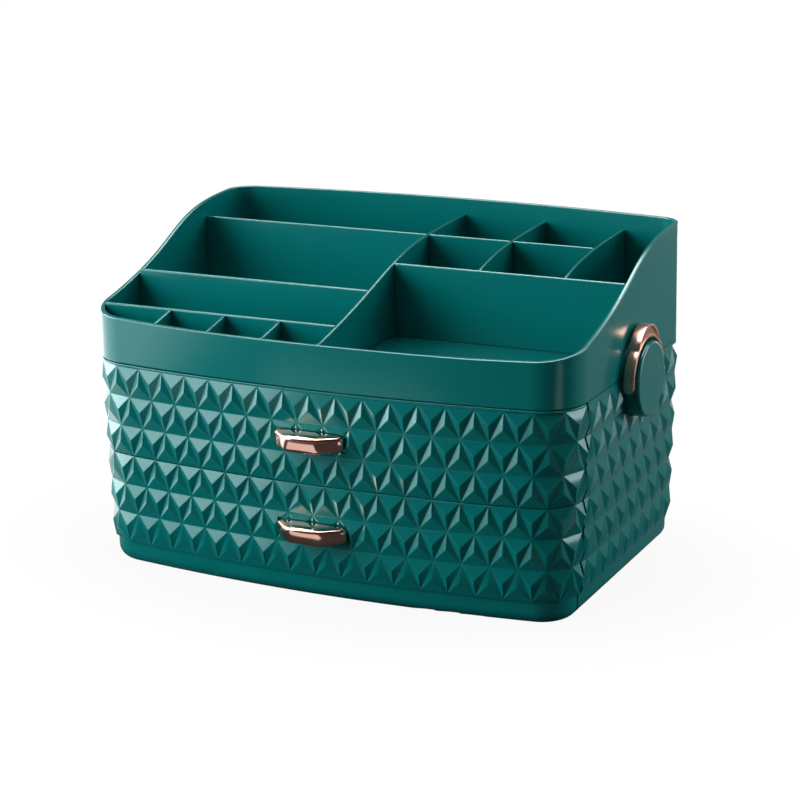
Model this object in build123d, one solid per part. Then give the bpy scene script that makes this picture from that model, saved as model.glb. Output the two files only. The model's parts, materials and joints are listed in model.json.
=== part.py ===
from build123d import *
import os
from math import asin, cos, pi, radians, sin, sqrt, tan

# A cosmetic organizer box: a two-drawer cabinet with a faceted skin carries a
# divided tray, and a bail latch on each side holds the tray down.
# X runs to the right, Y to the back and Z up.
# The origin is on the table, under the middle of the box's outline.

# Plan outline shared by the tray and the cabinet
box_width = 304.4
box_depth = 209.4
front_bow = 12.7
front_corner_radius = 26.5
rear_corner_radius = 17.0
wall = 4.0

# Cabinet, from the table up
plinth_height = 1.2
band_height = 14.7
band_inset = 1.8
band_rounding = 8.0
foot_depth = 7.5
row_height = 18.1
rows_per_drawer = 3
lip_height = 1.8
draft_angle = 1.7
floor_thickness = 6.5
shelf_thickness = 2.6
deck_thickness = 3.0

# Faceted relief: three-sided pyramids in rows
front_facets = 16
side_facets = 12
front_pitch = 16.45
pitch_shrink = 0.0021
facet_rise = 2.2
peak_share = 0.545

# Drawers and the runners that guide them
front_depth = 37.0
side_gap = 2.2
split_gap = 0.4
lid_gap = 0.4
deck_clearance = 1.0
tub_wall = 2.0
tub_floor = 2.2
tub_headroom = 8.0
tub_rear_gap = 6.0
slide_gap = 0.3
runner_thickness = 5.0
runner_height = 9.0
runner_lift = 6.0
runner_gap = 0.4

# Screws
screw_radius = 1.5
screw_head_radius = 2.8
screw_head_height = 1.8
screw_bite = 7.0
screw_gap = 0.15

# Drawer knobs
knob_width = 44.0
knob_taper = 12.0
knob_depth = 14.0
knob_cheek = 4.5
knob_height = 10.5
knob_sink = 0.5
nose_corner = 7.0
end_corner = 4.5
knob_edge = 2.0
knob_gap = 0.2
knob_screw_spread = 18.0

# Tray
tray_wall = 2.6
tray_floor = 2.0
tray_floor_lift = 8.2
rim_start = 5.0
rim_rear_flat = 15.4
rim_front = 26.1
rim_rear = 71.8
rim_front_pull = 128.0
rim_front_lift = 20.4
rim_rear_pull = 100.0
ridge_inset = 7.0
ridge_width = 2.0
ridge_height = 3.0

# Tray dividers
divider_thickness = 1.8
divider_rear = 61.7
divider_rear_flat = 0.0
divider_front_pull = 100.5
divider_front_lift = 21.2
divider_rear_pull = 118.3
centre_divider_x = 4.7
front_cells = 4
outer_cell_width = 48.9
front_cross_depth = 27.0
middle_cross_depth = 69.0
right_cross_depth = 101.5
rear_cross_depth = 151.0
inner_cell_width = 53.2
side_cell_width = 39.4

# Side latches
latch_y = 7.1
latch_drop = 4.6
boss_radius = 22.0
boss_stand = 10.4
boss_seat = 2.0
boss_edge = 1.0
boss_gap = 0.15
boss_screw_spread = 20.0
boss_screw_drop = 9.0
latch_width = 6.2
latch_stand = 2.3
latch_gap = 2.0
latch_band = 2.4
tab_radius = 18.5
tab_rise = 5.3
tab_rim = 1.5
tab_dish_depth = 1.0
pin_radius = 1.5
pin_gap = 0.05
pin_grip = 8.0
leg_cover = 0.9

# Levels and half sizes that follow from the sizes above
half_width = box_width / 2
half_depth = box_depth / 2
rows = 2 * rows_per_drawer
relief_bottom = plinth_height + band_height
relief_top = relief_bottom + rows * row_height
split_level = relief_top - rows_per_drawer * row_height
seam_level = relief_top + lip_height
shelf_top = split_level + split_gap / 2
shelf_low = shelf_top - shelf_thickness
deck_low = seam_level - deck_thickness
tray_floor_level = seam_level + tray_floor_lift
tray_top = seam_level + rim_rear
seam_y = front_depth - half_depth
slope = tan(radians(draft_angle))
beyond = box_width + box_depth
everywhere = (-beyond, beyond)
behind_seam = (seam_y, beyond)
before_seam = (-beyond, seam_y)

# The front and back are wide arcs, and the corners are small arcs that touch them
bow_radius = (half_width**2 + front_bow**2) / (2 * front_bow)


class Corner:
    """Corner arc at one end of the outline, and the ways along the quarter that it belongs to."""

    def __init__(self, radius):
        self.radius = radius
        self.x = half_width - radius
        self.y = half_depth - bow_radius + sqrt((bow_radius - radius) ** 2 - self.x**2)
        self.bow_angle = asin(self.x / (bow_radius - radius))
        self.bow_length = bow_radius * self.bow_angle
        self.arc_length = radius * (pi / 2 - self.bow_angle)
        self.quarter = self.bow_length + self.arc_length + self.y


front_corner = Corner(front_corner_radius)
rear_corner = Corner(rear_corner_radius)
half_way = front_corner.quarter + rear_corner.quarter


def plan_face(inset):
    """Plan outline, drawn in by an inset all round."""
    side = half_width - inset
    middle = half_depth - inset
    edges = [Line((hand * side, -front_corner.y), (hand * side, rear_corner.y)) for hand in (-1, 1)]
    for end, corner in ((-1, front_corner), (1, rear_corner)):
        radius = corner.radius - inset
        elbow = (pi / 2 + corner.bow_angle) / 2
        toe_x = corner.x + radius * sin(corner.bow_angle)
        toe_y = corner.y + radius * cos(corner.bow_angle)
        elbow_x = corner.x + radius * sin(elbow)
        elbow_y = corner.y + radius * cos(elbow)
        edges.append(ThreePointArc((-toe_x, end * toe_y), (0, end * middle), (toe_x, end * toe_y)))
        for hand in (-1, 1):
            toe = (hand * toe_x, end * toe_y)
            bend = (hand * elbow_x, end * elbow_y)
            edges.append(ThreePointArc(toe, bend, (hand * side, end * corner.y)))
    return make_face(edges)


def slab(inset, low, high):
    """Upright block of the plan outline between two levels."""
    return Pos(0, 0, low) * extrude(plan_face(inset), amount=high - low)


def drafted_slab(inset, low, high):
    """Block of the plan outline that narrows downwards by the draft angle."""
    return Pos(0, 0, high) * extrude(plan_face(inset), amount=high - low, dir=(0, 0, -1), taper=draft_angle)


def block(x_span, y_span, z_span):
    """Plain block between three pairs of limits."""
    spans = (x_span, y_span, z_span)
    middle = [(low + high) / 2 for low, high in spans]
    return Pos(*middle) * Box(*[high - low for low, high in spans])


def rod(radius, start, finish):
    """Round bar between two points."""
    way = Vector(*finish) - Vector(*start)
    return extrude(Plane(origin=start, z_dir=way) * Circle(radius), amount=way.length)


def inset_at(level):
    """How far the draft has drawn the cabinet in at a level."""
    return slope * (relief_top - level)


def inner_inset_at(level):
    """How far the cabinet's inner wall face stands inside the outline at a level."""
    return wall + slope * (seam_level - level)


def screw(seat, way, length):
    """Pan-head screw: its head sits on the seat, and its shank runs along the way."""
    seat = Vector(*seat)
    way = Vector(*way)
    head = rod(screw_head_radius, seat, seat - way * screw_head_height)
    return (head + rod(screw_radius, seat, seat + way * length)).solid()


def screw_room(seat, way, length):
    """Clearance hole for a screw's shank, with a flat spot under its head."""
    seat = Vector(*seat)
    way = Vector(*way)
    spot = rod(screw_head_radius + screw_gap, seat, seat - way * wall)
    return spot + rod(screw_radius + screw_gap, seat, seat + way * length)


def mirrored(piece):
    """The same piece on the box's other side."""
    return mirror(piece, about=Plane.YZ)


def quarter_point(corner, length):
    """Point and outward direction on the front right quarter, if it had this corner."""
    if length < corner.bow_length:
        turn = length / bow_radius
        facing = Vector(sin(turn), -cos(turn))
        return Vector(0, bow_radius - half_depth) + facing * bow_radius, facing
    if length < corner.bow_length + corner.arc_length:
        turn = corner.bow_angle + (length - corner.bow_length) / corner.radius
        facing = Vector(sin(turn), -cos(turn))
        return Vector(corner.x, -corner.y) + facing * corner.radius, facing
    return Vector(half_width, length - corner.quarter), Vector(1, 0)


def plan_point(length):
    """Point and outward direction on the outline, by the way run from the front's middle to the right."""
    length = length % (2 * half_way)
    if length > half_way:
        point, facing = plan_point(2 * half_way - length)
        return Vector(-point.X, point.Y), Vector(-facing.X, facing.Y)
    if length < front_corner.quarter:
        return quarter_point(front_corner, length)
    point, facing = quarter_point(rear_corner, half_way - length)
    return Vector(point.X, -point.Y), Vector(facing.X, -facing.Y)


def facet_length(line, step):
    """Way along the outline to a half step of the relief on a grid line, from the front's middle."""
    pitch = front_pitch * (1 - pitch_shrink * line)
    side_pitch = (half_way - front_facets * pitch) / side_facets
    count = step / 2
    front_half = front_facets / 2
    if count <= front_half:
        return count * pitch
    if count <= front_half + side_facets:
        return front_half * pitch + (count - front_half) * side_pitch
    return half_way - (front_facets + side_facets - count) * pitch


def grid_point(line, step):
    """Valley point of the relief on a grid line, with the outward direction there."""
    half_turn = 2 * (front_facets + side_facets)
    step = step % (2 * half_turn)
    if step <= half_turn:
        point, facing = plan_point(facet_length(line, step))
    else:
        point, facing = plan_point(-facet_length(line, 2 * half_turn - step))
    level = relief_top - line * row_height
    point = point - facing * inset_at(level)
    return Vector(point.X, point.Y, level), facing


def pyramid(tip, left, right, facing):
    """Three facets over a triangle, with the peak about half way from its tip to its base."""
    peak = tip + ((left + right) / 2 - tip) * peak_share + facing * facet_rise
    corners = (tip, left, right)
    return [Face(Wire.make_polygon([corners[i - 1], corners[i], peak])) for i in range(len(corners))]


def faceted_body():
    """Closed solid of the cabinet between the top and the bottom line of the relief."""
    facets = []
    steps = 4 * (front_facets + side_facets)
    for row in range(rows):
        for step in range(row % 2, steps, 2):
            tip, facing = grid_point(row, step)
            left, right = (grid_point(row + 1, step + side)[0] for side in (-1, 1))
            facets += pyramid(tip, left, right, facing)
            tip, facing = grid_point(row + 1, step + 1)
            left, right = (grid_point(row, step + side)[0] for side in (0, 2))
            facets += pyramid(tip, left, right, facing)
    for line in (0, rows):
        ring = [grid_point(line, step)[0] for step in range(line % 2, steps, 2)]
        facets.append(Face(Wire.make_polygon(ring)))
    return Solid(Shell(facets))


def cabinet_body():
    """Faceted body with the plain lip above it and a rounded plain band, set back, below it."""
    lip = slab(0, relief_top, seam_level)
    band = drafted_slab(inset_at(relief_bottom) + band_inset, plinth_height, relief_bottom)
    band = fillet(band.faces().sort_by(Axis.Z)[0].edges(), band_rounding)
    return Part() + faceted_body() + lip + band


def below_crest(rear, flat, pull, lift, rear_pull):
    """Block under a tray crest that sweeps up from the front rim to a flat part at a rear height."""
    start = rim_start - half_depth
    end = half_depth - flat
    low = seam_level + rim_front
    high = seam_level + rear
    sweep = Bezier((start, low), (start + pull, low + lift), (end - rear_pull, high), (end, high))
    around = [(end, high), (beyond, high), (beyond, 0), (-beyond, 0), (-beyond, low), (start, low)]
    return extrude(Plane.YZ * make_face([sweep, Polyline(*around)]), amount=beyond, both=True)


def inner_room(gap):
    """Room inside the cabinet's walls and their thicker foot, drawn in by a gap."""
    foot = drafted_slab(inner_inset_at(floor_thickness) + foot_depth + gap, 0, floor_thickness)
    return foot + drafted_slab(wall + gap, floor_thickness, seam_level)


body = cabinet_body()
cavity = inner_room(0)
front_room = inner_room(deck_clearance)
nodes = {}


def level_plate(low, high):
    """Plate across the cabinet, tight to its walls but clear of the drawer fronts."""
    rear = cavity & block(everywhere, behind_seam, (low, high))
    return rear + (front_room & block(everywhere, before_seam, (low, high)))


# Cabinet plates; the floor fills the foot of the walls and stands proud below it as a plinth
ridge_top = seam_level + ridge_height
ridge = slab(ridge_inset, seam_level, ridge_top) - slab(ridge_inset + ridge_width, seam_level, ridge_top)
nodes["cabinet_floor"] = level_plate(0, floor_thickness)
nodes["drawer_shelf"] = cavity & block(everywhere, behind_seam, (shelf_low, shelf_top))
nodes["cabinet_deck"] = level_plate(deck_low, seam_level) + ridge

# Runners, tubs and knobs share these places
runner_x = half_width - inner_inset_at(0) - runner_thickness
tub_half = runner_x - runner_gap
tub_back = half_depth - inner_inset_at(0) - tub_rear_gap
tub_room = drafted_slab(wall + tub_wall, 0, seam_level)
hollow_half = tub_half - tub_wall


def drawer_front(low, high):
    """Faceted front panel that wraps both front corners."""
    return body & (block(everywhere, (-beyond, seam_y - side_gap), (low, high)) - cavity)


def drawer_tub(low, high):
    """Open box behind a drawer front, with its front wall bowed like the panel."""
    outer = cavity & block((-tub_half, tub_half), (-beyond, tub_back), (low, high))
    inner = block((-hollow_half, hollow_half), (-beyond, tub_back - tub_wall), (low + tub_floor, high))
    return outer - (tub_room & inner)


def drawer_knob():
    """Bar knob that narrows to a flat nose, with its back on the XZ plane."""
    half_back = knob_width / 2
    half_nose = half_back - knob_taper
    right = [(half_nose, -knob_depth), (half_back, -knob_cheek), (half_back, 0)]
    left = [(-x, y) for x, y in reversed(right)]
    plan = make_face(Polyline(*left, *right, close=True))
    plan = fillet(plan.vertices().sort_by(Axis.Y)[:2], nose_corner)
    plan = fillet(plan.vertices().sort_by(Axis.Y)[-4:-2], end_corner)
    knob = extrude(plan, amount=knob_height / 2, both=True)
    rims = knob.faces().sort_by(Axis.Z)
    return fillet(rims[0].edges() + rims[-1].edges(), knob_edge)


# Drawers: the level each rests on, its ceiling, and the lower and upper edge of its front
drawers = {
    "upper": (shelf_top, deck_low, shelf_top, seam_level - lid_gap),
    "lower": (floor_thickness, shelf_low, plinth_height, split_level - split_gap / 2),
}
for order, (name, (rest, ceiling, front_low, front_high)) in enumerate(drawers.items()):
    knob_level = relief_top - (order + 1 / 2) * rows_per_drawer * row_height
    seat_y = inset_at(knob_level) + knob_sink - half_depth
    head_y = inner_inset_at(knob_level) + tub_wall - half_depth
    pocket_half = knob_width / 2 + knob_gap
    pocket_rise = knob_height / 2 + knob_gap
    pocket_levels = (knob_level - pocket_rise, knob_level + pocket_rise)

    front = drawer_front(front_low, front_high)
    front = front - block((-pocket_half, pocket_half), (-beyond, seat_y), pocket_levels)
    tub = drawer_tub(rest + slide_gap, ceiling - tub_headroom)
    knob = Pos(0, seat_y, knob_level) * drawer_knob()
    screws = []
    for x in (-knob_screw_spread / 2, knob_screw_spread / 2):
        head = (x, head_y, knob_level)
        front = front - screw_room(head, (0, -1, 0), head_y - seat_y)
        tub = tub - screw_room(head, (0, -1, 0), head_y - seat_y)
        knob = knob - rod(screw_radius, head, (x, seat_y - screw_bite, knob_level))
        screws.append(screw(head, (0, -1, 0), head_y - seat_y + screw_bite))
    nodes[f"{name}_drawer_front"] = front
    nodes[f"{name}_drawer_tub"] = tub
    nodes[f"{name}_drawer_knob"] = knob
    nodes[f"{name}_knob_screws"] = Compound(screws)

    runner_levels = (rest + runner_lift, rest + runner_lift + runner_height)
    runner = cavity & block((runner_x, beyond), (seam_y, rear_corner.y), runner_levels)
    nodes[f"{name}_right_runner"] = runner
    nodes[f"{name}_left_runner"] = mirrored(runner)

# Tray with a raised floor, its rim cut to the crest
tray = slab(0, seam_level, beyond)
tray = tray - slab(tray_wall, tray_floor_level, beyond)
tray = tray - slab(tray_wall, seam_level, tray_floor_level - tray_floor)
tray = tray & below_crest(rim_rear, rim_rear_flat, rim_front_pull, rim_front_lift, rim_rear_pull)

# Dividers, all cut from one block under a crest of their own
divider_room = slab(tray_wall, tray_floor_level, beyond)
divider_crest = below_crest(
    divider_rear, divider_rear_flat, divider_front_pull, divider_front_lift, divider_rear_pull
)
divider_room = divider_room & divider_crest
half_thick = divider_thickness / 2


def plate_at(place):
    """Limits of a divider's thickness about its place."""
    return (place - half_thick, place + half_thick)


centre_plate = plate_at(centre_divider_x)
left_side = (-beyond, centre_plate[0])
right_side = (centre_plate[1], beyond)
front_cross = plate_at(front_cross_depth - half_depth)
middle_cross = plate_at(middle_cross_depth - half_depth)
right_cross = plate_at(right_cross_depth - half_depth)
rear_cross = plate_at(rear_cross_depth - half_depth)
outer_plate = plate_at(half_width - side_cell_width)
inner_plate = plate_at(half_width - side_cell_width - inner_cell_width)
front_cell_pitch = (half_width + centre_divider_x - outer_cell_width) / (front_cells - 1)
divider_plans = {
    "centre_divider": (centre_plate, everywhere),
    "left_front_divider": (left_side, front_cross),
    "left_middle_divider": (left_side, middle_cross),
    "left_rear_divider": (left_side, rear_cross),
    "right_cross_divider": (right_side, right_cross),
    "right_inner_divider": (inner_plate, (right_cross[1], beyond)),
    "right_outer_divider": (outer_plate, (right_cross[1], beyond)),
    "rear_inner_divider": ((centre_plate[1], inner_plate[0]), rear_cross),
    "rear_outer_divider": ((inner_plate[1], outer_plate[0]), rear_cross),
}
for cell in range(1, front_cells):
    cell_plate = plate_at(centre_divider_x - cell * front_cell_pitch)
    divider_plans[f"cell_divider_{cell}"] = (cell_plate, (-beyond, front_cross[0]))
for name, (x_span, y_span) in divider_plans.items():
    nodes[name] = divider_room & block(x_span, y_span, (0, tray_top))

# Right latch: a round boss split at the seam, a bail that hinges on it, and two pins
latch_level = seam_level - latch_drop
latch_inner_radius = boss_radius + latch_gap
latch_outer_radius = latch_inner_radius + latch_band
pivot_x = half_width + latch_stand + latch_width / 2
seat_x = half_width - boss_seat


def latch_point(x, side=0):
    """Point on the latch's level, a way along Y from the middle of the latch."""
    return (x, latch_y + side, latch_level)


boss = rod(boss_radius, latch_point(half_width), latch_point(half_width + boss_stand))
boss = chamfer(boss.faces().sort_by(Axis.X)[-1].edges(), boss_edge)
boss_root = rod(boss_radius, latch_point(seat_x), latch_point(half_width))
boss_pocket = rod(boss_radius + boss_gap, latch_point(seat_x), latch_point(beyond))
tray_boss = boss & block(everywhere, everywhere, (seam_level, tray_top))
cabinet_boss = (boss + boss_root) & block(everywhere, everywhere, (0, seam_level))

# The bail is an arch with a crescent finger tab on top, sunk inside a rim on its outer face
tab_lift = latch_outer_radius + tab_rise - tab_radius
arch = Circle(latch_outer_radius) + Pos(0, tab_lift) * Circle(tab_radius) - Circle(latch_inner_radius)
arch = arch & Pos(0, beyond / 2) * Rectangle(beyond, beyond)
dish = Pos(0, tab_lift) * Circle(tab_radius - tab_rim) - Circle(latch_inner_radius + tab_rim)
dish = dish & Pos(0, beyond / 2) * Rectangle(beyond, beyond)
latch_plane = Plane(origin=latch_point(pivot_x), x_dir=(0, 1, 0), z_dir=(1, 0, 0))
latch = extrude(latch_plane * arch, amount=latch_width / 2, both=True)
latch = latch - extrude(latch_plane.offset(latch_width / 2) * dish, amount=-tab_dish_depth)
pins = []
for hand in (-1, 1):
    leg_inner = latch_point(pivot_x, hand * latch_inner_radius)
    leg_outer = latch_point(pivot_x, hand * latch_outer_radius)
    hole_end = latch_point(pivot_x, hand * (latch_outer_radius - leg_cover))
    pin_foot = latch_point(pivot_x, hand * (boss_radius - pin_grip))
    pin_tip = latch_point(pivot_x, hand * (latch_outer_radius - leg_cover - pin_gap))
    latch = latch + rod(latch_width / 2, leg_inner, leg_outer)
    latch = latch - rod(pin_radius + pin_gap, pin_foot, hole_end)
    cabinet_boss = cabinet_boss - rod(pin_radius, pin_foot, pin_tip)
    pins.append(rod(pin_radius, pin_foot, pin_tip).solid())

# Each half of the boss has two screws from inside
tray_screw_level = seam_level + (tray_floor_lift - tray_floor) / 2
cabinet_screw_level = latch_level - boss_screw_drop
tray_head_x = half_width - tray_wall
cabinet_head_x = half_width - inner_inset_at(cabinet_screw_level)
boss_tip_x = half_width + screw_bite
tray_screws = []
cabinet_screws = []
side_holes = Part()
for y in (latch_y - boss_screw_spread / 2, latch_y + boss_screw_spread / 2):
    tray_head = (tray_head_x, y, tray_screw_level)
    cabinet_head = (cabinet_head_x, y, cabinet_screw_level)
    tray_screws.append(screw(tray_head, (1, 0, 0), boss_tip_x - tray_head_x))
    cabinet_screws.append(screw(cabinet_head, (1, 0, 0), boss_tip_x - cabinet_head_x))
    side_holes = side_holes + screw_room(tray_head, (1, 0, 0), tray_wall)
    side_holes = side_holes + screw_room(cabinet_head, (1, 0, 0), seat_x - cabinet_head_x)
    tray_boss = tray_boss - rod(screw_radius, tray_head, (boss_tip_x, y, tray_screw_level))
    cabinet_boss = cabinet_boss - rod(screw_radius, cabinet_head, (boss_tip_x, y, cabinet_screw_level))

latch_pieces = {
    "tray_boss": tray_boss,
    "cabinet_boss": cabinet_boss,
    "latch": latch,
    "latch_pins": Compound(pins),
    "tray_boss_screws": Compound(tray_screws),
    "cabinet_boss_screws": Compound(cabinet_screws),
}
for name, piece in latch_pieces.items():
    nodes[f"right_{name}"] = piece
    nodes[f"left_{name}"] = mirrored(piece)

# Tray and cabinet walls, with the seats and holes of both latches
rear_walls = block(everywhere, behind_seam, (plinth_height, seam_level)) - cavity
for cut in (boss_pocket, side_holes):
    rear_walls = rear_walls - cut - mirrored(cut)
nodes["tray_shell"] = tray - side_holes - mirrored(side_holes)
nodes["cabinet_shell"] = body & rear_walls

os.makedirs("parts", exist_ok=True)
for name, piece in nodes.items():
    export_step(piece, f"parts/{name}.step")
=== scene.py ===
# %% [markdown]
# # A cosmetic organizer box
# A faceted two-drawer cabinet carries a divided tray, and rose-gold latches hold the two together.
# The solids come from the CAD model, with their shapes and sizes settled. This lesson dresses them: it mixes
# the plastics and the bright metal, rounds the moulded edges, polishes the knobs and sets up a small white
# studio around the box.

# %% Load the solids
import json
from math import radians

import bpy
from mathutils import Matrix, Vector

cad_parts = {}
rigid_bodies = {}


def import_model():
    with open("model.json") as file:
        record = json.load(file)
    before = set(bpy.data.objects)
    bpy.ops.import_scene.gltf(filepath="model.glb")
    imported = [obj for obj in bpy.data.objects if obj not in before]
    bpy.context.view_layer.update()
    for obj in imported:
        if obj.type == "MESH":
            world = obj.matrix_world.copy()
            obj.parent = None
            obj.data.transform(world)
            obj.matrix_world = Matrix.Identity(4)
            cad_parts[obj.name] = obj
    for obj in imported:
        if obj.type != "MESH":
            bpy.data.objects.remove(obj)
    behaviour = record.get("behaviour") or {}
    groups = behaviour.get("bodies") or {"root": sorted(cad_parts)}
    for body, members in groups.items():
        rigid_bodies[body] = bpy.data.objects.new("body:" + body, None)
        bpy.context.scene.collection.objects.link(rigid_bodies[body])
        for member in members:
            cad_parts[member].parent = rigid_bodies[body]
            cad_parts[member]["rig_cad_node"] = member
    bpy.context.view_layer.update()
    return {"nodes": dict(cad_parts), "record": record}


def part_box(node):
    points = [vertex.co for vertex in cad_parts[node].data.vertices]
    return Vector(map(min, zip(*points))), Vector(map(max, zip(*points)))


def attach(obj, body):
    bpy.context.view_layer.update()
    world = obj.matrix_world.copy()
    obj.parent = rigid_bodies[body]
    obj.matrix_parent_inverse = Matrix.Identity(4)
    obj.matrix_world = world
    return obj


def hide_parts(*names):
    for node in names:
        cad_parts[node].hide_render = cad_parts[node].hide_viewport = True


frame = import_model()
nodes = frame["nodes"]
behaviour = frame["record"]["behaviour"]
body_of = {node: body for body, members in behaviour["bodies"].items() for node in members}
slot_of = {entry["node"]: entry["material_slot"] for entry in frame["record"]["subparts"]}
MM = 0.001

# %% [markdown]
# ## The camera
# The photograph looks down on the box from the right, through a long lens, so that its upright edges hardly
# converge. A Track To constraint could aim the camera, but it leaves no say over the roll. So the camera is
# turned in three plain steps: up from looking straight down, round the upright axis, and a touch of roll.
# The picture's centre isn't the lens's centre, so the lens is shifted as on a view camera.

# %% Camera
# The place is in metres, the angles are in degrees, and the lens and the sensor are in millimetres.
camera_spot = (0.5822, -1.2079, 0.4724)
swing = 25.46
dip = 14.07
roll = -0.72
lens_length = 104.5
sensor_width = 36
lens_shift = -0.0875

camera = bpy.data.objects.new("camera", bpy.data.cameras.new("camera"))
bpy.context.scene.collection.objects.link(camera)
turn = Matrix.Rotation(radians(swing), 4, "Z") @ Matrix.Rotation(radians(90 - dip), 4, "X")
lean = Matrix.Rotation(radians(roll), 4, "Z")
camera.matrix_world = Matrix.Translation(camera_spot) @ turn @ lean
camera.data.lens = lens_length
camera.data.sensor_width = sensor_width
camera.data.shift_y = lens_shift
bpy.context.scene.camera = camera
print("camera", round(camera.location.length, 2), "m from the box")

# %% [markdown]
# ## Writing shaders as sums
# A finish is a small web of nodes. In the editor, a mask takes a Math node for every step, and the links soon
# get hard to follow. Wrapping a socket in a class lets plain arithmetic add those nodes, so that a mask or a
# mix reads as one line. Every other node comes from one method of the web.


# %% A socket that takes sums
class Wire:
    """A socket that can be added, taken away and multiplied, with a number on either side."""

    def __init__(self, web, socket):
        self.web = web
        self.socket = socket

    def maths(self, operation, first, second):
        return self.web.node("ShaderNodeMath", {"operation": operation}, {0: first, 1: second})

    def __add__(self, other):
        return self.maths("ADD", self, other)

    def __radd__(self, other):
        return self.maths("ADD", other, self)

    def __sub__(self, other):
        return self.maths("SUBTRACT", self, other)

    def __rsub__(self, other):
        return self.maths("SUBTRACT", other, self)

    def __mul__(self, other):
        return self.maths("MULTIPLY", self, other)

    def __rmul__(self, other):
        return self.maths("MULTIPLY", other, self)


print("sockets take +, - and *")


# %% A web of nodes
class Web:
    """The node tree of a material or of the world."""

    def __init__(self, owner):
        owner.use_nodes = True
        self.tree = owner.node_tree
        self.tree.nodes.clear()

    def node(self, kind, settings, sockets, output=0):
        """Any node: its settings first, then the values or links of its sockets."""
        made = self.tree.nodes.new(kind)
        for name, value in settings.items():
            setattr(made, name, value)
        for key, value in sockets.items():
            if isinstance(value, Wire):
                self.tree.links.new(value.socket, made.inputs[key])
            else:
                made.inputs[key].default_value = value
        return Wire(self, made.outputs[output]) if made.outputs else None


print("any node takes its settings and its sockets in one call")

# %% Nodes that come up again and again
WHITE = (1, 1, 1, 1)


def place(web):
    """Where a point lies on the box, in metres."""
    return web.node("ShaderNodeTexCoord", {}, {}, "Object")


def noise(web, size, detail, roughness=0.5):
    """Soft noise from 0 to 1 whose blobs are about as wide as size, in metres."""
    sockets = {"Vector": place(web), "Scale": 1 / size, "Detail": detail, "Roughness": roughness}
    return web.node("ShaderNodeTexNoise", {}, sockets, "Fac")


def blend(web, share, first, second):
    """A colour between two others, which a Mix node takes in sockets 6 and 7 and gives from output 2."""
    return web.node("ShaderNodeMix", {"data_type": "RGBA"}, {0: share, 6: first, 7: second}, 2)


def layer(web, share, under, over):
    """One shader that covers another by a share."""
    return web.node("ShaderNodeMixShader", {}, {0: share, 1: under, 2: over})


def show(web, shader):
    """Let a material show a shader."""
    web.node("ShaderNodeOutputMaterial", {}, {"Surface": shader})


print("helpers for noise, colours and layers")

# %% [markdown]
# ## Moulded plastic
# The cabinet, the tray and the drawers are injection-moulded in one deep teal. One colour at one roughness
# would do for a sketch, but it looks like paint. On real plastic the colour drifts a little where the melt
# flowed, the gloss changes from spot to spot, and the skin has a faint orange peel, so three sizes of noise
# give one of these each. The tubs inside follow the same recipe, a little darker and with less gloss.

# %% Moulded plastic
melt_flow = 90 * MM
gloss_patch = 20 * MM
gloss_drift = 0.08
peel_grain = 1.2 * MM
peel_height = 0.04 * MM
peel_strength = 0.05
plastic_ior = 1.49
cool_shine = (0.75, 1.0, 1.0, 1)
deep_teal = (0.0, 0.148, 0.145, 1)
light_teal = (0.0, 0.172, 0.169, 1)
outer_gloss = 0.17
deep_tub_teal = (0.0, 0.13, 0.127, 1)
light_tub_teal = (0.0, 0.15, 0.147, 1)
tub_gloss = 0.35


def moulded_plastic(name, deep, light, gloss):
    """Teal plastic between two shades, at a roughness about gloss."""
    material = bpy.data.materials.new(name)
    web = Web(material)
    drift = noise(web, melt_flow, detail=3.0)
    patches = noise(web, gloss_patch, detail=4.0, roughness=0.6)
    peel = noise(web, peel_grain, detail=1.0)
    skin = {"Strength": peel_strength, "Distance": peel_height, "Height": peel}
    sockets = {
        "Base Color": blend(web, drift, deep, light),
        "Roughness": gloss - gloss_drift / 2 + patches * gloss_drift,
        "Normal": web.node("ShaderNodeBump", {}, skin),
        "IOR": plastic_ior,
        "Specular Tint": cool_shine,
    }
    show(web, web.node("ShaderNodeBsdfPrincipled", {}, sockets))
    print(name, "at roughness", gloss)
    return material


cabinet_teal = moulded_plastic("cabinet_teal", deep_teal, light_teal, outer_gloss)
tray_teal = moulded_plastic("tray_teal", deep_teal, light_teal, outer_gloss)
drawer_teal = moulded_plastic("drawer_teal", deep_tub_teal, light_tub_teal, tub_gloss)

# %% [markdown]
# ## Rose gold and steel
# The knobs and latches are plated in rose gold, and the pins and screws in zinc. A clean mirror looks like
# glass, and scratches would be too coarse for new metal. So one soft noise, as fine as finger marks, dulls
# the plating and shifts its tint. Beside the polished knobs the latches look brushed, so they get
# a rougher mix.

# %% Rose gold and steel
smudge_size = 6 * MM
smudge_dulling = 0.05
polished_rose = (0.83, 0.5, 0.41, 1)
handled_rose = (0.78, 0.44, 0.35, 1)
brushed_light = (0.8, 0.46, 0.36, 1)
brushed_dark = (0.6, 0.33, 0.25, 1)
zinc_light = (0.56, 0.56, 0.55, 1)
zinc_dark = (0.48, 0.48, 0.48, 1)


def plated_metal(name, clean, marked, gloss, metal=1.0):
    """Plating between a clean and a marked tint, at a roughness that starts from gloss."""
    material = bpy.data.materials.new(name)
    web = Web(material)
    smudge = noise(web, smudge_size, detail=3.0, roughness=0.55)
    sockets = {
        "Base Color": blend(web, smudge, clean, marked),
        "Metallic": metal,
        "Roughness": gloss + smudge * smudge_dulling,
    }
    show(web, web.node("ShaderNodeBsdfPrincipled", {}, sockets))
    print(name, "at roughness", gloss)
    return material


rose_gold = plated_metal("rose_gold", polished_rose, handled_rose, gloss=0.07)
brushed_rose = plated_metal("brushed_rose", brushed_light, brushed_dark, gloss=0.2, metal=0.8)
zinc_steel = plated_metal("zinc_steel", zinc_light, zinc_dark, gloss=0.3)

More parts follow.
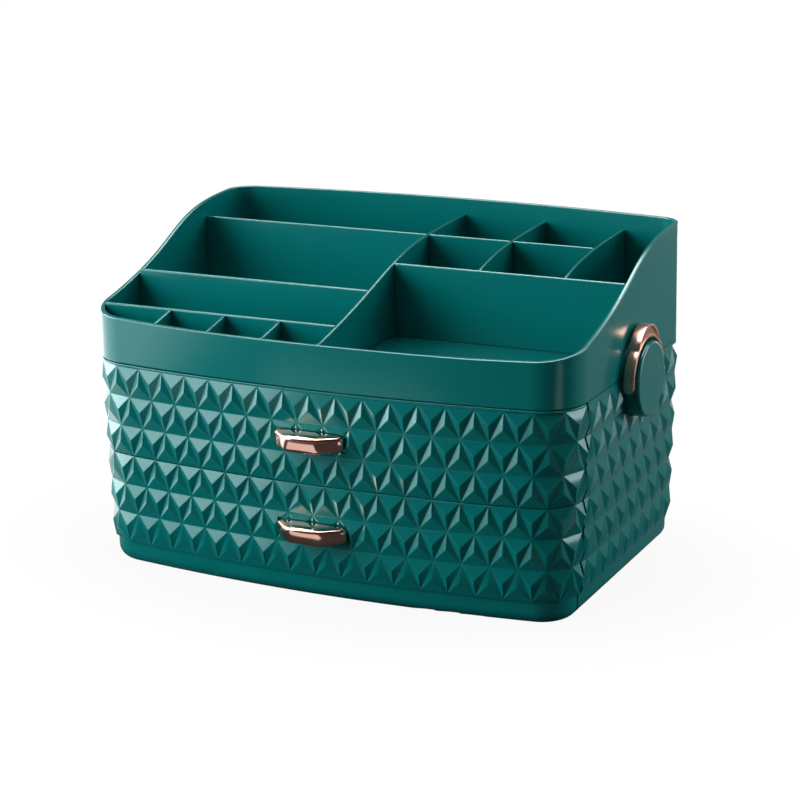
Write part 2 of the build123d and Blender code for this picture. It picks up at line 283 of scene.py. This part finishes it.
# %% Dress the solids
finishes = {
    "cabinet_plastic": cabinet_teal,
    "tray_plastic": tray_teal,
    "drawer_plastic": drawer_teal,
    "rose_gold": rose_gold,
    "steel": zinc_steel,
}
for name, node in nodes.items():
    node.data.materials.clear()
    node.data.materials.append(finishes[slot_of[name]])
print(len(finishes), "finishes on", len(nodes), "solids")

# %% [markdown]
# ## Rounded edges
# A mould has no sharp edges, and the thin bright lines on every rim and facet come from small radii.
# A Bevel modifier rounds every edge that is sharper than an angle, which suits the tray, the dividers and the
# bosses. On the faceted skin it would also catch the foot and the seams, where very short edges fold over, so
# there the edges are chosen by their place and rounded with the bevel tool.
# Both ways work on a copy of the solid that is merged first and whose flat triangles are joined. Weighted
# normals then keep the big faces flat, and an edge that got no radius stays sharp.

# %% Copy a solid
merge_gap = 0.01 * MM
flat_bend = radians(0.4)


def twin(name, foot=0.0, merge=merge_gap):
    """A merged copy of a solid, whose flat triangles above a foot are joined."""
    bpy.ops.object.select_all(action="DESELECT")
    nodes[name].select_set(True)
    bpy.context.view_layer.objects.active = nodes[name]
    bpy.ops.object.duplicate()
    piece = bpy.context.object
    piece.name = name + "_moulded"
    del piece["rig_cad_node"]
    bpy.ops.object.mode_set(mode="EDIT")
    bpy.ops.mesh.customdata_custom_splitnormals_clear()
    bpy.ops.mesh.select_mode(type="FACE")
    bpy.ops.mesh.select_all(action="SELECT")
    bpy.ops.mesh.remove_doubles(threshold=merge)
    bpy.ops.object.mode_set(mode="OBJECT")
    for face in piece.data.polygons:
        face.select = face.center.z > foot
    bpy.ops.object.mode_set(mode="EDIT")
    bpy.ops.mesh.dissolve_limited(angle_limit=flat_bend)
    bpy.ops.object.mode_set(mode="OBJECT")
    return piece


def stand_for(piece, name):
    """Let a piece take the place of a solid: it joins the solid's body, and the solid is hidden."""
    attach(piece, body_of[name])
    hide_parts(name)
    print(piece.name, len(piece.data.polygons), "faces")


print("points closer than", merge_gap / MM, "mm become one")

# %% Round and shade a copy
sharp_degrees = 28
round_steps = 3
flat_weight = 90
smooth_bend = radians(33)


def soften(piece, radius):
    """Round every sharp edge of a piece."""
    bevel = piece.modifiers.new("radius", "BEVEL")
    bevel.width = radius
    bevel.segments = round_steps
    bevel.limit_method = "ANGLE"
    bevel.angle_limit = radians(sharp_degrees)
    bevel.use_clamp_overlap = False
    bevel.miter_outer = "MITER_ARC"
    bpy.ops.object.modifier_apply(modifier="radius")


def soften_where(piece, radius, chosen):
    """Round the sharp edges whose two ends both pass a test."""
    bpy.ops.object.mode_set(mode="EDIT")
    bpy.ops.mesh.select_mode(type="EDGE")
    bpy.ops.mesh.select_all(action="DESELECT")
    bpy.ops.mesh.edges_select_sharp(sharpness=radians(sharp_degrees))
    bpy.ops.object.mode_set(mode="OBJECT")
    for face in piece.data.polygons:
        face.select = False
    for edge in piece.data.edges:
        edge.select = edge.select and all(chosen(piece.data.vertices[end].co) for end in edge.vertices)
    bpy.ops.object.mode_set(mode="EDIT")
    bpy.ops.mesh.bevel(offset=radius, segments=round_steps, affect="EDGES", clamp_overlap=False)
    bpy.ops.object.mode_set(mode="OBJECT")


def keep_flats(piece):
    """Smooth shading in which the big faces stay flat."""
    weigh = piece.modifiers.new("flats", "WEIGHTED_NORMAL")
    weigh.weight = flat_weight
    weigh.keep_sharp = True
    bpy.ops.object.shade_smooth_by_angle(angle=smooth_bend)
    bpy.ops.object.modifier_apply(modifier="flats")


print("edges over", sharp_degrees, "degrees get a radius")

# %% Faceted skin
sliver = 0.1 * MM
facet_radius = 0.42 * MM
relief_foot = 16 * MM
foot_margin = 0.2 * MM
seam_margin = 2 * MM


def on_relief(seam):
    """A test for points above the foot of the relief and away from the seam between fronts and shell."""
    return lambda spot: spot.z > relief_foot + foot_margin and abs(spot.y - seam) > seam_margin


for name in ("upper_drawer_front", "lower_drawer_front", "cabinet_shell"):
    low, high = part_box(name)
    seam = high.y if name.endswith("front") else low.y
    piece = twin(name, relief_foot, sliver)
    soften_where(piece, facet_radius, on_relief(seam))
    keep_flats(piece)
    stand_for(piece, name)

# %% Rims, dividers and bosses
# The dividers of the front cells are numbered, and the number is no part of their kind.
radii = {"tray_shell": 0.75 * MM, "divider": 0.75 * MM, "boss": 0.5 * MM}
for name in nodes:
    kind = name.rstrip("_0123456789")
    for ending, radius in radii.items():
        if kind.endswith(ending):
            piece = twin(name)
            soften(piece, radius)
            keep_flats(piece)
            stand_for(piece, name)

# %% [markdown]
# ## The bails
# Each latch is a bail: an arch with a dished finger tab that swings on two pins. A Subdivision Surface would
# melt its thin rim, and the solid's own curves are right, so the copy keeps them. Only the outlines of its
# two faces are rounded, so that a thin bright line runs along them. They are found by their distance from the
# hinge: a face is half the bail's thickness away from it, and so is the round end of a leg.

# %% Bails
bail_radius = 0.3 * MM
face_margin = 0.05 * MM
bail_bend = radians(40)
hinges = {joint["child"]: Vector(joint["pos_m"]) for joint in behaviour["joints"] if "pos_m" in joint}


def on_faces(hinge, reach):
    """A test for points on the two faces of a bail and on the round ends of its legs."""
    return lambda spot: Vector((spot.x - hinge.x, min(0, spot.z - hinge.z))).length > reach


for name in ("left_latch", "right_latch"):
    low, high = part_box(name)
    half_bail = (high.x - low.x) / 2 - face_margin
    piece = twin(name, merge=sliver)
    soften_where(piece, bail_radius, on_faces(hinges[name], half_bail))
    bpy.ops.object.shade_smooth_by_angle(angle=bail_bend)
    piece.data.materials[0] = brushed_rose
    stand_for(piece, name)

# %% [markdown]
# ## The knobs
# Each drawer has a cast bar knob, wide at its back and narrower at its nose. Polishing has bellied its flats
# out a little, which no bevel gives. So a block is drawn out to the nose, all its edges are cut off, and
# a Subdivision Surface smooths this coarse cage into a soft, pillowed bar inside the solid's box.

# %% Knob cage
knob_cheek = 4.5 * MM
knob_taper = 12 * MM
cage_cut = 1.5 * MM
facing_front = -0.5


def knob_cage(name):
    """A block at the back of a knob, drawn out to a narrower nose, with all its edges cut off."""
    low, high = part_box(name)
    size = high - low
    middle = (0, high.y - knob_cheek / 2, (low.z + high.z) / 2)
    bpy.ops.object.select_all(action="DESELECT")
    bpy.ops.mesh.primitive_cube_add(size=1, location=middle, scale=(size.x, knob_cheek, size.z))
    cage = bpy.context.object
    cage.name = name + "_polished"
    bpy.ops.object.transform_apply(location=True, rotation=True, scale=True)
    bpy.ops.object.mode_set(mode="EDIT")
    bpy.ops.mesh.select_mode(type="FACE")
    bpy.ops.mesh.select_all(action="DESELECT")
    bpy.ops.object.mode_set(mode="OBJECT")
    for face in cage.data.polygons:
        face.select = face.normal.y < facing_front
    bpy.ops.object.mode_set(mode="EDIT")
    bpy.ops.mesh.extrude_region_move(TRANSFORM_OT_translate={"value": (0, knob_cheek - size.y, 0)})
    bpy.ops.transform.resize(value=(1 - 2 * knob_taper / size.x, 1, 1))
    bpy.ops.mesh.select_mode(type="EDGE")
    bpy.ops.mesh.select_all(action="SELECT")
    bpy.ops.mesh.bevel(offset=cage_cut, segments=1, affect="EDGES", clamp_overlap=True)
    bpy.ops.mesh.select_all(action="SELECT")
    bpy.ops.mesh.normals_make_consistent(inside=False)
    bpy.ops.object.mode_set(mode="OBJECT")
    print(cage.name, "cage of", len(cage.data.polygons), "faces")
    return cage


# %% Knobs
belly_levels = 3
for name in ("upper_drawer_knob", "lower_drawer_knob"):
    piece = knob_cage(name)
    belly = piece.modifiers.new("belly", "SUBSURF")
    belly.levels = belly_levels
    belly.render_levels = belly_levels
    bpy.ops.object.modifier_apply(modifier="belly")
    bpy.ops.object.shade_smooth()
    piece.data.materials.append(rose_gold)
    stand_for(piece, name)

# %% [markdown]
# ## The floor
# The photograph is a plain product shot on white. A floor that is lit until it turns white would light
# the box from below, so this one is dull paper for the lamps and white only for the camera and for what
# bright surfaces mirror. Near the box some of the dull paper shows through, which keeps the box's shadow.
# A painted reflection: for mirrored rays the floor glows brighter on the left, so the front's left third is
# palest.


# %% Sheets and masks
def sheet(name, low, high, level):
    """A flat rectangle between two corners of the floor plan, kept out of the object."""
    middle = ((low[0] + high[0]) / 2, (low[1] + high[1]) / 2, level)
    bpy.ops.object.select_all(action="DESELECT")
    bpy.ops.mesh.primitive_plane_add(size=1, location=middle)
    made = bpy.context.object
    made.name = name
    made.scale = (high[0] - low[0], high[1] - low[1], 1)
    bpy.ops.object.transform_apply(location=True, rotation=True, scale=True)
    made.data.materials.append(bpy.data.materials.new(name))
    print(name, "laid")
    return made


def rays(web, kind):
    """1 for one kind of light ray and 0 for the others."""
    return web.node("ShaderNodeLightPath", {}, {}, kind)


def mirrored(web):
    """1 for the rays that metal, gloss or glass sends on."""
    return rays(web, "Is Glossy Ray") + rays(web, "Is Transmission Ray")


def ramp(web, value, low, high):
    """Smooth step from 0 to 1 between two values."""
    return web.node("ShaderNodeMapRange", {"interpolation_type": "SMOOTHSTEP"}, {0: value, 1: low, 2: high})


def between(web, value, rise, fall):
    """1 from the end of a rise to the start of a fall, and 0 outside the two."""
    return ramp(web, value, *rise) - ramp(web, value, *fall)


def part_of(web, vector, axis):
    """One coordinate of a vector."""
    return web.node("ShaderNodeSeparateXYZ", {}, {0: vector}, axis)


print("helpers for sheets, rays and masks")

# %% Floor plan
# A line of sight that the front mirrors on to the floor runs this far sideways for each metre forwards.
sight_slope = 0.51


def floor_plan(web):
    """A point's two coordinates on the floor, and how far across the mirrored lines of sight it lies."""
    x, y = (part_of(web, place(web), axis) for axis in "XY")
    return x, y, x - sight_slope * y


print("mirrored lines of sight run", sight_slope, "m sideways for each metre")

# %% Floor
paper_grey = (0.4, 0.4, 0.4, 1)
# Painted reflection: on the left, glossy rays see the floor's glow raised by this much above white.
left_reflection_glow = 1.4
reflection_glow_edge = (-0.26, -0.08)
shadow_share = 0.06
shadow_shape = (0.7, 1.0, 0.0)
shadow_edge = (0.1, 0.2)

floor = sheet("floor", low=(-1.6, -1.3), high=(1.6, 3.0), level=0)
web = Web(floor.data.materials[0])
*_, across = floor_plan(web)
# Painted reflection: only glossy rays see the extra glow, which fades out towards the right.
reflection_glow = rays(web, "Is Glossy Ray") * (1.0 - ramp(web, across, *reflection_glow_edge))
glow = web.node("ShaderNodeEmission", {}, {"Color": WHITE, "Strength": 1.0 + left_reflection_glow * reflection_glow})
paper = web.node("ShaderNodeBsdfDiffuse", {}, {"Color": paper_grey})
oval = web.node("ShaderNodeVectorMath", {"operation": "MULTIPLY"}, {0: place(web), 1: shadow_shape})
far = web.node("ShaderNodeVectorMath", {"operation": "LENGTH"}, {0: oval}, "Value")
share = 1.0 - shadow_share + shadow_share * ramp(web, far, *shadow_edge)
seen = rays(web, "Is Camera Ray") + mirrored(web)
show(web, layer(web, seen, paper, layer(web, share, paper, glow)))

# %% [markdown]
# ## The dark cloth
# On white all round, every facet would mirror white and the front would turn pale. A photographer lays black
# cloth where the picture doesn't show it, and so does this scene: the cloth lies in front of the box and to
# its right, unseen by the camera, and keeps the right-hand facets deep. It fades out to the left, thins a
# little towards the back, and has two windows in which some facets still find the white floor.

# %% Cloth
felt_black = (0.06, 0.06, 0.06, 1)
left_fade = (-0.27, -0.1)
back_fade = (-0.1, 0.2)
back_thinning = 0.15
window_clearness = 0.9
front_window_across = ((-0.04, -0.01), (0.2, 0.24))
front_window_along = ((-0.57, -0.54), (-0.25, -0.22))
side_window_corner = (0.15, -0.1)
side_window_way = (0.43, 0.9)
side_window_width = ((-0.09, -0.06), (0.06, 0.09))
side_window_start = (0.35, 0.4)

cloth = sheet("dark_cloth", low=(-0.6, -1.2), high=(1.4, 1.2), level=0.3 * MM)
cloth.visible_camera = False
cloth.visible_shadow = False
web = Web(cloth.data.materials[0])
x, y, across = floor_plan(web)
front_window = between(web, across, *front_window_across) * between(web, y, *front_window_along)
beside = side_window_way[0] * (x - side_window_corner[0]) + side_window_way[1] * (y - side_window_corner[1])
side_window = between(web, beside, *side_window_width) * ramp(web, x, *side_window_start)
cover = ramp(web, across, *left_fade) * (1.0 - back_thinning * ramp(web, y, *back_fade))
for window in (front_window, side_window):
    cover = cover * (1.0 - window_clearness * window)
felt = web.node("ShaderNodeBsdfDiffuse", {}, {"Color": felt_black})
clear = web.node("ShaderNodeBsdfTransparent", {}, {})
show(web, layer(web, cover, clear, felt))

# %% [markdown]
# ## The room
# An even white world would light the box from all sides and take the shape out of its facets. So the world is
# dim in front of the box and pale behind it, and the lamps do the lighting. Only the camera sees it white,
# and with it what is mirrored low behind the box, where the white floor would run on.

# %% World
front_light = 0.04
back_light = 0.25
half_way = (-0.2, 0.2)
skyline = (0.02, 0.14)


def backdrop(web, strength):
    """White light from the room."""
    return web.node("ShaderNodeBackground", {}, {"Color": WHITE, "Strength": strength})


world = bpy.data.worlds.new("studio")
bpy.context.scene.world = world
web = Web(world)
way = web.node("ShaderNodeTexCoord", {}, {}, "Generated")
behind = ramp(web, part_of(web, way, "Y"), *half_way)
near_floor = 1.0 - ramp(web, part_of(web, way, "Z"), *skyline)
room = layer(web, behind, backdrop(web, front_light), backdrop(web, back_light))
seen = rays(web, "Is Camera Ray") + behind * near_floor * mirrored(web)
web.node("ShaderNodeOutputWorld", {}, {"Surface": layer(web, seen, room, backdrop(web, 1.0))})
print("room light", front_light, "in front and", back_light, "behind")

# %% [markdown]
# ## The lamps
# The light in the photograph is one huge soft window on the left, with help from above and from the right.
# Point lamps or a sun would give hard spots on gloss, so all lamps here are large rectangles. Two of them
# only shine: the rims and the facets mirror them, and they leave the plastic's own colour as it is.


# %% Lamps
def softbox(name, spot, aim, size, power, shine_only=False):
    """A rectangular lamp at a spot, aimed at a point. A shine_only lamp is mirrored and does no more."""
    lamp = bpy.data.lights.new(name, "AREA")
    lamp.shape = "RECTANGLE"
    lamp.size, lamp.size_y = size
    lamp.energy = power
    holder = bpy.data.objects.new(name, lamp)
    bpy.context.scene.collection.objects.link(holder)
    holder.location = spot
    holder.rotation_euler = (Vector(aim) - Vector(spot)).to_track_quat("-Z", "Y").to_euler()
    holder.visible_diffuse = not shine_only
    print(name, power, "W")


softbox("window_left", spot=(-1.25, -0.95, 0.72), aim=(0, -0.05, 0.3), size=(1.5, 1.35), power=41)
softbox("overhead", spot=(-0.3, 0.1, 1.6), aim=(0, 0, 0.1), size=(1.2, 1.0), power=9)
softbox("right_back", spot=(1.5, 0.9, 0.6), aim=(0, 0, 0.1), size=(1.2, 1.2), power=23)
softbox("rim_light", spot=(-0.1, 0.15, 1.3), aim=(0, 0, 0.15), size=(1.4, 1.2), power=60, shine_only=True)
softbox(
    "left_strip", spot=(-1.46, -0.36, 0.45), aim=(0, -0.05, 0.2), size=(1.0, 0.9), power=27, shine_only=True
)

# %% [markdown]
# ## The colour view
# A film-like view would bend the colours, so the plain Standard view shows them as they are written.

# %% Colour view
bpy.context.scene.view_settings.view_transform = "Standard"
